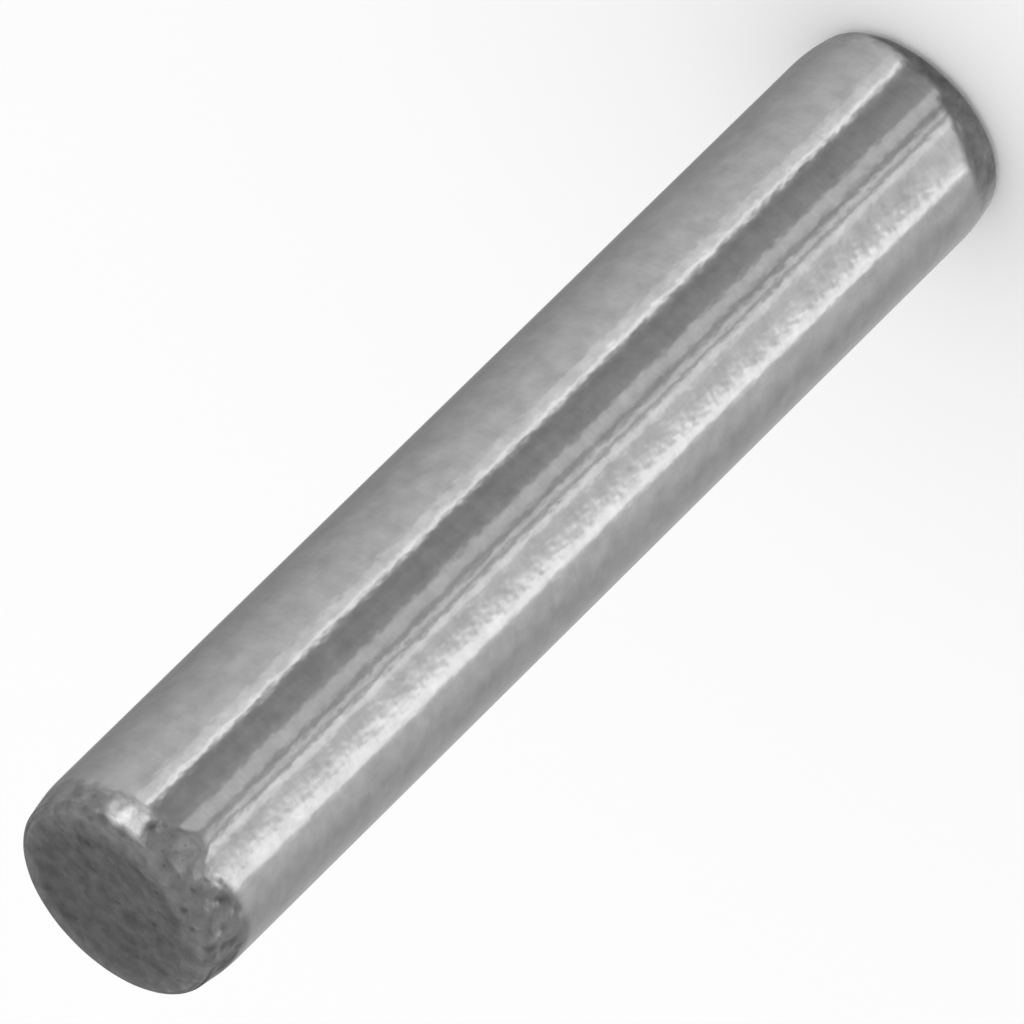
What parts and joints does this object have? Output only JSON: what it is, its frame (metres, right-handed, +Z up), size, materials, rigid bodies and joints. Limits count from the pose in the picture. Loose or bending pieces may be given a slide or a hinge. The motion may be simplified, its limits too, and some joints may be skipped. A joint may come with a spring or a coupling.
{
  "type": "needle pin",
  "caption": "Plain hardened steel needle pin with a ground shank, shallow tapered lead-ins and flat end faces with rolled shoulders.",
  "frame": {"origin": "centre of the lower end face, which the pin stands on", "axes": "+Z up along the pin's axis; the pin is round, so X and Y are any two directions across it"},
  "size_m": [0.003, 0.003, 0.0158],
  "materials": {
    "pin_steel": "through-hardened bearing steel; shank ground bright and barrel finished, tapers and end faces darker and finely mottled"
  },
  "bodies": {
    "root": {"needle_pin": "pin_steel"}
  },
  "joints": []
}
